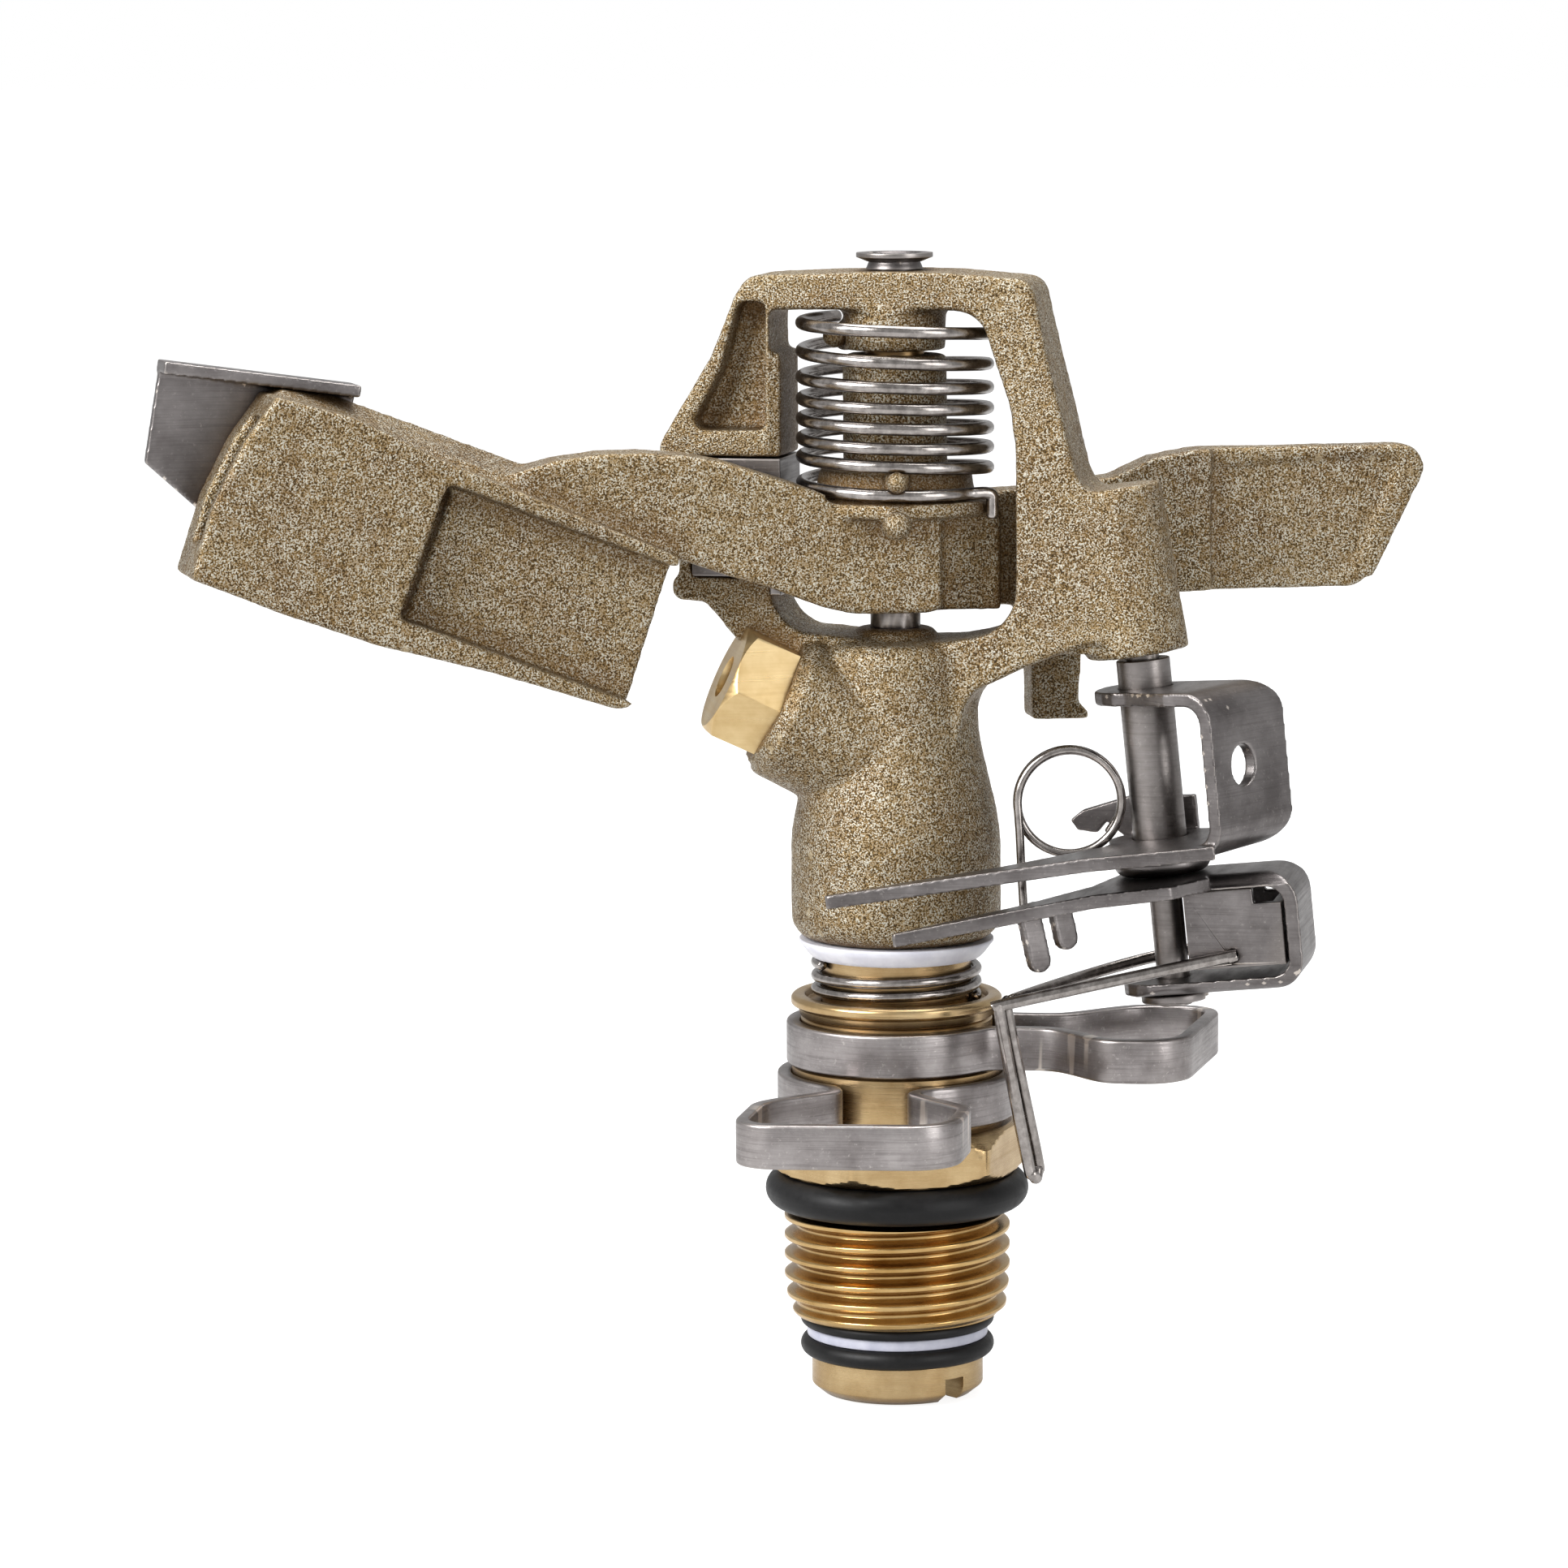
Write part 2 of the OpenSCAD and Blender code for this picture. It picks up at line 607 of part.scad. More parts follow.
// U-shaped strap: floor, web with two bends, and ear, open towards -X
module strap_profile(web_x, top_z, floor_z, reach_top, reach_floor) {
    r_out = 2.9;
    r_in = r_out - strap_t;
    h = top_z - floor_z;
    translate([web_x, floor_z]) difference() {
        union() {
            translate([-reach_floor, 0]) square([reach_floor - r_out, strap_t]);
            translate([-reach_top, h - strap_t]) square([reach_top - r_out, strap_t]);
            translate([-strap_t, r_out]) square([strap_t, h - 2 * r_out]);
            for (z = [r_out, h - r_out]) translate([-r_out, z]) circle(r = r_out);
        }
        for (z = [r_out, h - r_out]) translate([-r_out, z]) circle(r = r_in);
        translate([-r_out - 4, strap_t]) square([4, h - 2 * strap_t]);
        translate([-r_out - 0.01, r_out]) square([r_out - strap_t + 0.01, h - 2 * r_out]);
    }
}

// Flat finger cut from a plan outline, drooping beyond the shaft hub
module bent_finger(plan, droop) {
    bend_x = -4.9;
    reach = 30;
    drop = (reach + bend_x) * tan(droop);
    intersection() {
        translate([0, 0, -5]) linear_extrude(height = 10) polygon(plan);
        rotate([90, 0, 0]) linear_extrude(height = 60, center = true)
            polygon([[10, 0], [10, strap_t], [bend_x, strap_t], [-reach, strap_t - drop],
                [-reach, -drop], [bend_x, 0]]);
    }
}

module trip_dog() {
    half = dog_w / 2;
    floor_low = dog_floor_z - strap_t;
    color(steel) trip_frame() difference() {
        union() {
            // web, ear and floor
            rotate([0, 0, dog_turn]) intersection() {
                rotate([90, 0, 0]) linear_extrude(height = dog_w, center = true)
                    strap_profile(dog_web_x, ear_z, floor_low, 16, 16);
                translate([0, 0, floor_low - 1]) linear_extrude(height = 30)
                    polygon(concat(arc([0, 0], 4.7, 80, 280, 12),
                        [[6, -half], [12, -half], [12, half], [6, half]]));
                rotate([90, 0, 90]) linear_extrude(height = 40, center = true) {
                    translate([-half, floor_low - 1]) square([dog_w - 3, 17]);
                    translate([-half, floor_low + 3]) square([dog_w, -floor_low + ear_z - 6]);
                    for (z = [floor_low + 3, ear_z - 3]) translate([half - 3, z]) circle(r = 3);
                }
            }
            // long finger that crosses in front of the barrel
            translate([0, 0, dog_floor_z - strap_t]) bent_finger([[-3.4, 1.5], [3, 4], [6.5, -10.4],
                [2, -11.2], [-28.3, -15.1], [-28.6, -14.4], [-13, -9.6], [-4.6, -4.8]], 3);
            // rear hook
            translate([0, 5, 0]) rotate([90, 0, 0]) linear_extrude(height = strap_t)
                polygon([[-3, floor_low], [3, floor_low], [3, -13.4], [-3, -13], [-7.6, -14],
                    [-8.8, -14.8], [-8.2, -15.8], [-6.4, -16.2], [-5.4, -15.2], [-4, -16.6]]);
        }
        translate([0, 0, -25]) cylinder(r = spacer_r + run_gap, h = 26);
        rotate([0, 0, dog_turn]) translate([5, -1.2, -9.8]) rotate([0, 90, 0]) cylinder(r = 1.9, h = 10);
    }
}

module trip_lever() {
    half = lever_w / 2;
    floor_low = lever_floor_z - strap_t;
    color(steel) trip_frame() difference() {
        union() {
            intersection() {
                rotate([90, 0, 0]) linear_extrude(height = lever_w, center = true)
                    strap_profile(lever_web_x, lever_top_z, floor_low, 19, 19);
                translate([0, 0, floor_low - 1]) linear_extrude(height = 14)
                    polygon(concat(arc([0, 0], 4.6, 80, 280, 12),
                        [[5, -half], [15, -half], [15, half], [5, half]]));
                rotate([90, 0, 90]) linear_extrude(height = 40, center = true) {
                    translate([-half, floor_low + 2]) square([lever_w, 7.8]);
                    translate([-half + 2, floor_low - 1]) square([lever_w - 4, 14]);
                    for (y = [-1, 1], z = [floor_low + 2, lever_top_z - 2])
                        translate([y * (half - 2), z]) circle(r = 2);
                }
            }
            // forked stop behind the finger
            for (prong = [[0, 5.3], [3.4, 3.7]])
                translate([-11.5, -10.8, -21.6]) rotate([0, 0, 44]) translate([prong[0], 0, 0])
                    rotate([0, -8, 0]) {
                        translate([0, 0, 1 - prong[1]]) cube([2.2, 1, prong[1]]);
                        translate([1.1, 0, 1 - prong[1]]) rotate([-90, 0, 0]) cylinder(r = 1.1, h = 1);
                    }
            // long finger in front of the dust washer
            translate([0, 0, lever_top_z - strap_t]) bent_finger([[-4, 2], [2, 4.4], [5, -5.4],
                [2, -9.4], [-22.2, -16.7], [-22.5, -15.9], [-12, -10.4], [-6, -4.6]], 4.8);
        }
        translate([0, 0, lever_top_z - 15]) cylinder(r = trip_pin_r + run_gap, h = 20);
    }
}

// Fork that anchors the toggle spring, and the channel that holds the wire
module trip_wire_holder() {
    t = 1;
    top = lever_top_z - strap_t - 0.1;
    low = lever_floor_z + 0.1;
    color(steel) trip_frame() difference() {
        union() {
            for (y = [-4.6, 4.6 - t]) translate([2.3, y, low + 1]) cube([8.9, t, top - low - 1]);
            translate([10.2, -4.6, low + 1]) cube([t, 9.2, top - low - 1]);
        }
        for (side = [-1, 1]) translate([6.2, side * 4.6, -27.3]) rotate([90, 0, 0])
            cylinder(r = wire_d / 2 + run_gap, h = 4, center = true);
        translate([8.6, -6, top - 1.4]) cube([5, 12, 3]);
    }
}

// Hairpin wire: two strands straddle the pin, meet at the bend and drop as the trip leg
module trip_wire() {
    r = wire_d / 2;
    y0 = 4.9 + r;
    z0 = -27.3;
    bend = [-14.2, -11.2, -29.2];
    foot = [-13.1, -9.2, -45.3];
    lap = [0.3, 1.1, 0];
    color(steel) trip_frame() wire(concat(
        [[6.2, 2.2, z0], [6.2, y0 - 0.5, z0], [5.8, y0, z0]],
        [[-1, y0 - 0.7, z0 - 0.7], [-4.5, 3.4, z0 - 1.1], [-8.5, -0.6, z0 - 1.5]],
        [bend + lap + [1.4, 1.6, 0.25], bend + lap + [0.3, 0.3, -0.1], bend + lap + [0.1, 0, -1]],
        [foot + lap + [0, 0, 1.4], foot + lap * 0.75, foot + [0.3, 0.2, -0.4]],
        [foot, foot + [-0.3, -0.2, 0.6], foot + [-0.35, -0.2, 1.4]],
        [bend + [-0.1, 0, -1.3], bend + [0.1, 0.1, -0.3], bend + [1, 0.3, 0.05]],
        [[5.6, -y0, z0], [6.2, 0.6 - y0, z0], [6.2, -2.2, z0]]), r);
}

// Two-coil spring that snaps the dog over when the lever passes centre
module toggle_spring() {
    r_wire = 0.4;
    r_coil = 4.75;
    coils = 1.58;
    lead = 0.95;
    steps = 24 * coils;
    centre = [-7.4, -3.4, -12.3];
    color(steel) trip_frame() translate(centre) rotate([0, 0, 12]) wire(concat(
        [[-r_coil - 0.4, 0, -9.8], [-r_coil - 0.1, 0, -5]],
        [for (i = [0 : steps]) let (a = 180 - 360 * coils * i / steps)
            [r_coil * cos(a), lead * i / 24, r_coil * sin(a)]],
        [[0.68 * r_coil, lead * coils + 0.02, -0.7 * r_coil]]), r_wire);
}

bearing_sleeve();
riser_seal();
upper_arc_collar();
lower_arc_collar();
bearing_nipple();
lower_bearing_seal();
bearing_slip_washer();
upper_bearing_seal();
spring_seat_washer();
bearing_spring();
dust_washer();
head_casting();
nozzle();
fulcrum_pin();
strike_plate();
trip_pin();
trip_spacer();
trip_thrust_washer();
trip_pin_clip();
arm_casting();
arm_bushings();
stream_deflector();
deflector_rivets();
arm_spring();
trip_lever();
trip_wire_holder();
trip_wire();
toggle_spring();
trip_dog();
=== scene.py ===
"""Visual model of a part-circle impact sprinkler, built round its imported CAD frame.

Lengths in this file are millimetres unless a name says otherwise; meshes are scaled to metres when made.
"""
import json
import math

import bpy
import numpy as np
from mathutils import Matrix, Vector, noise

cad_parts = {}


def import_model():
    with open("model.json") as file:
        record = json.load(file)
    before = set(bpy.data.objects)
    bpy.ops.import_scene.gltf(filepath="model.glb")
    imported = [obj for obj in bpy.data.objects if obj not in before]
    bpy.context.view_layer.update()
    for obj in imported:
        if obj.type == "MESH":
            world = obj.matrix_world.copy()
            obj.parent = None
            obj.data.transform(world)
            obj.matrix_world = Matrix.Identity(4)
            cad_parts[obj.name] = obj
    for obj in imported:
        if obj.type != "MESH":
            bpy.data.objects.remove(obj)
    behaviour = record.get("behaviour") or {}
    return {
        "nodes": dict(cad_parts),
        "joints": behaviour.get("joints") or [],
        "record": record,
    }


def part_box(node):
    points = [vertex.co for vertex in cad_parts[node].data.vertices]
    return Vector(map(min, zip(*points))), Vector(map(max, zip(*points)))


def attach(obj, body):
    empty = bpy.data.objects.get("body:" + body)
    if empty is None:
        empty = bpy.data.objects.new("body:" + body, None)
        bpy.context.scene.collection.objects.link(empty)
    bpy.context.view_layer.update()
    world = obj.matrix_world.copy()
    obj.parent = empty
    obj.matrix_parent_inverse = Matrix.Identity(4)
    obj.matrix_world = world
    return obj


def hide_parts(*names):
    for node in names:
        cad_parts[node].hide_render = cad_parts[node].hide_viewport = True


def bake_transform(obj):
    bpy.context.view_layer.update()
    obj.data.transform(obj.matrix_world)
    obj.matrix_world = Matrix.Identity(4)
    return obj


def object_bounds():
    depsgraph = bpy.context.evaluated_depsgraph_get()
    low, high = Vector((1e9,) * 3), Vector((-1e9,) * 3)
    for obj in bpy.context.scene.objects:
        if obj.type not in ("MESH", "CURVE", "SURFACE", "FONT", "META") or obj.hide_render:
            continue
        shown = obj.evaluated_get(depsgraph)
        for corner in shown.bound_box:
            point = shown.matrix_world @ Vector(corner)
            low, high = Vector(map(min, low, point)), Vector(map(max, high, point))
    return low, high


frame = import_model()
cad_lo, cad_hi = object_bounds()
record = frame["record"]
joints = {j["name"]: j for j in frame["joints"]}

MM = 0.001
TURN = 2 * math.pi
X_AXIS, Z_AXIS = np.array([1.0, 0, 0]), np.array([0, 0, 1.0])
ALL_SMOOTH = 180                                # crease angle that leaves a whole mesh smooth
WIRE_SIDES = 16
DOME = ((0.0, 0.72), (0.2, 0.93), (0.45, 1.0))  # wire end: (distance from the end, ring size) in radii
PEG_TURN = math.radians(-78)                    # direction of the spring peg on the arm's hub


# ---------------------------------------------------------------- helpers

def box_mm(node):
    lo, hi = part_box(node)
    return np.array(lo) / MM, np.array(hi) / MM


def clamp(t):
    return min(1.0, max(0.0, t))


def ease(t):
    t = clamp(t)
    return t * t * (3 - 2 * t)


def unit(v):
    v = np.asarray(v, float)
    return v / np.linalg.norm(v)


def polar(radius, angle):
    return radius * math.cos(angle), radius * math.sin(angle)


def mesh_object(name, verts, faces, material, crease_deg):
    """A new object from millimetre vertices, shaded smooth except at creases."""
    me = bpy.data.meshes.new(name)
    me.from_pydata([tuple(float(c) * MM for c in v) for v in verts], [], [tuple(f) for f in faces])
    me.validate()
    me.update()
    me.shade_smooth()
    if crease_deg < ALL_SMOOTH:
        me.set_sharp_from_angle(angle=math.radians(crease_deg))
    obj = bpy.data.objects.new(name, me)
    bpy.context.scene.collection.objects.link(obj)
    me.materials.append(material)
    return obj


def skin(rings, sides, closed=False, first=0, flip=False):
    """Faces between rings of points; a run that isn't closed gets a flat cap at each end."""
    faces = []
    for i in range(rings if closed else rings - 1):
        here, there = first + i * sides, first + (i + 1) % rings * sides
        for s in range(sides):
            t = (s + 1) % sides
            a, b, c, d = here + s, here + t, there + t, there + s
            faces.append((a, d, c, b) if flip else (a, b, c, d))
    if not closed:
        start = list(range(first, first + sides))
        end = [v + (rings - 1) * sides for v in start]
        faces += [start, end[::-1]] if flip else [start[::-1], end]
    return faces


def spline(points, per):
    """Catmull-Rom curve through the points."""
    p = [np.asarray(q, float) for q in points]
    p = [2 * p[0] - p[1]] + p + [2 * p[-1] - p[-2]]
    out = []
    for i in range(1, len(p) - 2):
        a, b, c, d = p[i - 1:i + 3]
        for k in range(per):
            t = k / per
            out.append(0.5 * (2 * b + (c - a) * t + (2 * a - 5 * b + 4 * c - d) * t * t
                              + (3 * b - a - 3 * c + d) * t ** 3))
    out.append(p[-2])
    return out


def tube(path, radius):
    """Round bar along a path, with slightly domed ends: (vertices, faces)."""
    path = [np.asarray(p, float) for p in path]
    last = len(path) - 1
    tangents = [unit(path[min(i + 1, last)] - path[max(i - 1, 0)]) for i in range(last + 1)]
    steep = abs(tangents[0][2]) >= 0.9
    guide = X_AXIS if steep else Z_AXIS
    rings = []
    for point, along in zip(path, tangents):
        guide = unit(guide - guide.dot(along) * along)
        rings.append((point, along, guide, 1.0))

    def end(ring, inward, steps):
        point, along, side, _ = ring
        return [(point + inward * along * radius * shift, along, side, size) for shift, size in steps]

    rings = end(rings[0], 1, DOME) + rings[1:-1] + end(rings[-1], -1, reversed(DOME))
    verts = []
    for point, along, side, size in rings:
        across = np.cross(along, side)
        for s in range(WIRE_SIDES):
            a = TURN * s / WIRE_SIDES
            verts.append(point + radius * size * (math.cos(a) * side + math.sin(a) * across))
    return verts, skin(len(rings), WIRE_SIDES)


def revolve(levels, around, segs):
    """Closed ring-shaped solid: around(level, angle) gives (radius, z); levels form a closed loop."""
    verts = []
    for level in levels:
        for s in range(segs):
            a = TURN * s / segs
            r, z = around(level, a)
            verts.append((*polar(r, a), z))
    return verts, skin(len(levels), segs, closed=True)


def frame_matrix(origin, axis):
    """Matrix whose Z runs along axis and whose X leans toward the frame's X."""
    z = unit(axis)
    x = unit(X_AXIS - np.dot(X_AXIS, z) * z)
    m = np.eye(4)
    m[:3, 0], m[:3, 1], m[:3, 2], m[:3, 3] = x, np.cross(z, x), z, origin
    return m


def at(matrix, points):
    return [matrix[:3, :3] @ np.asarray(p, float) + matrix[:3, 3] for p in points]


# ---------------------------------------------------------------- materials

def lin(r, g, b):
    """Linear colour of an sRGB colour given as 0-255."""
    def one(c):
        c /= 255
        return c / 12.92 if c <= 0.04045 else ((c + 0.055) / 1.055) ** 2.4
    return (one(r), one(g), one(b), 1)


class Graph:
    """Small helper that builds a node material; noise scales are per millimetre."""

    MIX_FACTOR, MIX_A, MIX_B, MIX_COLOR = 0, 6, 7, 2    # sockets of a mix node in colour mode
    OCCLUSION_SAMPLES = 6

    def __init__(self, name, metallic, roughness):
        self.mat = bpy.data.materials.new(name)
        self.mat.use_nodes = True
        self.nt = self.mat.node_tree
        self.bsdf = self.nt.nodes["Principled BSDF"]
        self.bsdf.inputs["Metallic"].default_value = metallic
        self.bsdf.inputs["Roughness"].default_value = roughness
        coord = self.nt.nodes.new("ShaderNodeTexCoord")
        self.pos = self.scaled(coord.outputs["Object"], (1 / MM,) * 3)

    def put(self, sock, value):
        if isinstance(value, bpy.types.NodeSocket):
            self.nt.links.new(value, sock)
        else:
            sock.default_value = value

    def scaled(self, vec, scale):
        n = self.nt.nodes.new("ShaderNodeMapping")
        self.put(n.inputs["Vector"], vec)
        n.inputs["Scale"].default_value = scale
        return n.outputs["Vector"]

    def noise(self, scale, detail, rough, vec=None):
        n = self.nt.nodes.new("ShaderNodeTexNoise")
        self.put(n.inputs["Vector"], self.pos if vec is None else vec)
        n.inputs["Scale"].default_value = scale
        n.inputs["Detail"].default_value = detail
        n.inputs["Roughness"].default_value = rough
        return n.outputs["Fac"]

    def ramp(self, fac, *stops):
        n = self.nt.nodes.new("ShaderNodeValToRGB")
        self.put(n.inputs["Fac"], fac)
        els = n.color_ramp.elements
        while len(els) < len(stops):
            els.new(0.5)
        for e, (place, color) in zip(els, stops):
            e.position = place
            e.color = color
        return n.outputs["Color"]

    def span(self, fac, a, b, lo=0.0, hi=1.0):
        """Maps a..b to lo..hi and holds the ends."""
        n = self.nt.nodes.new("ShaderNodeMapRange")
        self.put(n.inputs["Value"], fac)
        n.inputs["From Min"].default_value = a
        n.inputs["From Max"].default_value = b
        n.inputs["To Min"].default_value = lo
        n.inputs["To Max"].default_value = hi
        return n.outputs["Result"]

    def mix(self, fac, a, b):
        n = self.nt.nodes.new("ShaderNodeMix")
        n.data_type = "RGBA"
        self.put(n.inputs[self.MIX_FACTOR], fac)
        self.put(n.inputs[self.MIX_A], a)
        self.put(n.inputs[self.MIX_B], b)
        return n.outputs[self.MIX_COLOR]

    def math(self, op, a, b):
        n = self.nt.nodes.new("ShaderNodeMath")
        n.operation = op
        self.put(n.inputs[0], a)
        self.put(n.inputs[1], b)
        return n.outputs[0]

    def hollow_shade(self, reach, deepest, open_air, most):
        """How much painted shade goes into a recess: most where the occlusion is deepest, none in the open.
        """
        n = self.nt.nodes.new("ShaderNodeAmbientOcclusion")
        n.inputs["Distance"].default_value = reach * MM
        n.samples = self.OCCLUSION_SAMPLES
        return self.span(n.outputs["AO"], deepest, open_air, most, 0.0)

    def edge(self, strength):
        """Mask of the convex edges that get a painted highlight."""
        pointed = self.nt.nodes.new("ShaderNodeNewGeometry").outputs["Pointiness"]
        return self.math("MULTIPLY", self.span(pointed, 0.53, 0.60), strength)

    def bump(self, height, strength, depth, normal=None):
        n = self.nt.nodes.new("ShaderNodeBump")
        n.inputs["Strength"].default_value = strength
        n.inputs["Distance"].default_value = depth * MM
        self.put(n.inputs["Height"], height)
        if normal is not None:
            self.put(n.inputs["Normal"], normal)
        return n.outputs["Normal"]

    def done(self, color, roughness=None, normal=None):
        for key, value in (("Base Color", color), ("Roughness", roughness), ("Normal", normal)):
            if value is not None:
                self.put(self.bsdf.inputs[key], value)
        return self.mat


def cast_bronze():
    """Sand-cast bronze: brown skin under dark specks and painted glint flecks, painted shade in the hollows,
    painted highlights on the edges.
    """
    skin_colors = lin(112, 84, 42), lin(130, 103, 58), lin(140, 116, 74)
    glint_fleck_color, dark_grit = lin(192, 190, 178), lin(54, 41, 22)
    # Painted shade colour for the hollows and painted highlight colour for the convex edges.
    painted_hollow_shade, painted_edge_highlight = lin(104, 76, 42), lin(196, 180, 148)
    g = Graph("cast_bronze", 0.72, 0.5)
    patch = g.noise(0.14, 5, 0.62)
    speck_noise = g.noise(6.5, 2, 0.55)
    base = g.ramp(patch, *zip((0.30, 0.50, 0.70), skin_colors))
    # Light flecks are painted glints, strewn unevenly by a coarse noise.
    glint_spread = g.span(g.noise(1.1, 3, 0.6), 0.40, 0.52, 0.4, 1.0)
    light = g.math("MULTIPLY", g.span(speck_noise, 0.51, 0.57, 0, 0.85), glint_spread)
    base = g.mix(light, base, glint_fleck_color)
    base = g.mix(g.span(speck_noise, 0.475, 0.41, 0, 0.95), base, dark_grit)
    # Painted shade where the occlusion is deep, then painted highlights on the convex edges.
    base = g.mix(g.hollow_shade(2.8, 0.42, 0.95, 0.75), base, painted_hollow_shade)
    base = g.mix(g.edge(0.45), base, painted_edge_highlight)
    rough = g.span(speck_noise, 0.3, 0.7, 0.55, 0.36)
    relief = g.math("ADD", speck_noise, g.math("MULTIPLY", g.noise(1.1, 3, 0.6), 0.8))
    return g.done(base, rough, g.bump(relief, 1.0, 0.13))


def turned_brass(name, light, dark, lines, rough=0.26):
    """Lathe-turned brass with fine feed lines round the part, faint stains and painted shade in its hollows.
    """
    g = Graph(name, 1.0, rough)
    rings = g.noise(1.0, 4, 0.7, g.scaled(g.pos, (0.05, 0.05, lines)))
    stain = g.noise(0.22, 5, 0.6)
    col = g.mix(g.span(stain, 0.35, 0.7), light, dark)
    col = g.mix(g.span(rings, 0.45, 0.75, 0, 0.35), col, dark)
    # Painted shade: dark brown where the occlusion is deep.
    col = g.mix(g.hollow_shade(1.5, 0.3, 0.9, 0.55), col, lin(88, 52, 12))
    return g.done(col, g.span(rings, 0.3, 0.75, rough - 0.06, rough + 0.12), g.bump(rings, 0.25, 0.03))


def stamped_steel(name, tone):
    """Pressed stainless sheet: brushed along its length, painted highlights on the edges, painted shade in
    the hollows, faint warm cast.
    """
    light, dark = lin(150 * tone, 145 * tone, 144 * tone), lin(108 * tone, 103 * tone, 102 * tone)
    scratch, spot = lin(80, 75, 74), lin(190 * tone, 184 * tone, 180 * tone)
    # Painted shade colour for the hollows and painted highlight colour for the convex edges.
    painted_hollow_shade, painted_edge_highlight = lin(58, 50, 44), lin(232, 222, 212)
    g = Graph(name, 1.0, 0.34)
    g.bsdf.inputs["Anisotropic"].default_value = 0.3
    streak = g.noise(1.0, 5, 0.75, g.scaled(g.pos, (0.10, 0.10, 4.5)))
    cloud = g.noise(0.16, 5, 0.65)
    col = g.mix(g.span(cloud, 0.35, 0.68), light, dark)
    col = g.mix(g.span(streak, 0.48, 0.72, 0, 0.5), col, scratch)
    col = g.mix(g.span(g.noise(2.4, 3, 0.7), 0.60, 0.74, 0, 0.45), col, spot)
    # Painted shade where the occlusion is deep, then painted highlights on the convex edges.
    col = g.mix(g.hollow_shade(1.6, 0.3, 0.9, 0.55), col, painted_hollow_shade)
    col = g.mix(g.edge(0.75), col, painted_edge_highlight)
    normal = g.bump(streak, 0.3, 0.035)
    normal = g.bump(g.noise(2.4, 4, 0.65), 0.14, 0.05, normal)
    return g.done(col, g.span(streak, 0.3, 0.75, 0.26, 0.46), normal)


def spring_wire():
    """Drawn spring wire: bright, with faint draw marks and painted shade in the hollows."""
    g = Graph("spring_steel", 1.0, 0.2)
    draw = g.noise(1.2, 4, 0.65)
    col = g.ramp(draw, (0.3, lin(132, 126, 122)), (0.7, lin(182, 176, 172)))
    # Painted shade: near-black where the occlusion is deep.
    col = g.mix(g.hollow_shade(1.2, 0.3, 0.9, 0.5), col, lin(50, 44, 40))
    return g.done(col, g.span(draw, 0.3, 0.75, 0.14, 0.3), g.bump(g.noise(7, 2, 0.5), 0.06, 0.02))


def seal_rubber():
    """Black rubber with a little dust."""
    g = Graph("seal_rubber", 0.0, 0.5)
    g.bsdf.inputs["Specular IOR Level"].default_value = 0.3
    dust = g.noise(0.8, 5, 0.7)
    col = g.ramp(dust, (0.45, lin(9, 9, 10)), (0.8, lin(24, 23, 24)))
    return g.done(col, g.span(dust, 0.35, 0.8, 0.4, 0.6), g.bump(g.noise(3.5, 4, 0.6), 0.12, 0.05))


def white_plastic(name, low, high):
    """Nylon: satin, slightly translucent, faintly clouded."""
    g = Graph(name, 0.0, 0.38)
    g.bsdf.inputs["Subsurface Weight"].default_value = 0.25
    g.bsdf.inputs["Subsurface Radius"].default_value = (1.2 * MM, 1.1 * MM, 1.2 * MM)
    cloud = g.noise(0.5, 4, 0.6)
    col = g.ramp(cloud, (0.35, low), (0.75, high))
    return g.done(col, g.span(cloud, 0.3, 0.8, 0.3, 0.45), g.bump(g.noise(4, 3, 0.6), 0.08, 0.04))


bronze = cast_bronze()
brass = turned_brass("machined_brass", lin(208, 182, 138), lin(172, 142, 98), 4.0)
thread_brass = turned_brass("thread_brass", lin(216, 184, 130), lin(180, 144, 88), 3.0, 0.22)
nozzle_brass = turned_brass("nozzle_brass", lin(232, 206, 156), lin(202, 170, 116), 2.0, 0.3)
steel = stamped_steel("stainless", 0.94)
collar_steel = stamped_steel("collar_steel", 1.16)
pin_steel = stamped_steel("pin_steel", 0.92)
spring_mat = spring_wire()
rubber = seal_rubber()
nylon = white_plastic("white_plastic", lin(206, 206, 216), lin(228, 228, 234))
slip_nylon = white_plastic("slip_plastic", lin(166, 168, 184), lin(194, 195, 206))


# ---------------------------------------------------------------- carried-over CAD nodes

def paint(node, material):
    """Gives a CAD node its procedural material."""
    obj = frame["nodes"][node]
    obj.data.materials.clear()
    obj.data.materials.append(material)
    return obj


def modifier(obj, kind, name, **settings):
    m = obj.modifiers.new(name, kind)
    for key, value in settings.items():
        setattr(m, key, value)


def round_skin(node, material, voxel, rounds):
    """Melts every hard edge of a node into a small radius."""
    obj = paint(node, material)
    modifier(obj, "REMESH", "skin", mode="VOXEL", voxel_size=voxel * MM, use_smooth_shade=True)
    modifier(obj, "SMOOTH", "round", factor=0.6, iterations=rounds)
    return obj


def cast_skin(node):
    """Rounds every corner like a casting and gives it an uneven sand surface."""
    obj = round_skin(node, bronze, 0.3, 8)
    for label, size, depth in (("swell", 7.0, 0.16), ("sand", 0.9, 0.1)):
        tex = bpy.data.textures.new(f"{node}_{label}", "CLOUDS")
        tex.noise_scale = size * MM
        tex.noise_depth = 2
        modifier(obj, "DISPLACE", label, texture=tex, texture_coords="LOCAL", strength=depth * MM,
                 mid_level=0.5)


def soft_edges(node, material, width, segments=2):
    """Breaks the sharp edges of a stamped or turned CAD node."""
    obj = paint(node, material)
    modifier(obj, "WELD", "weld", merge_threshold=0.002 * MM)
    modifier(obj, "BEVEL", "edges", width=width * MM, segments=segments, limit_method="ANGLE",
             angle_limit=math.radians(40), use_clamp_overlap=True)
    modifier(obj, "WEIGHTED_NORMAL", "normals", keep_sharp=False, weight=80)


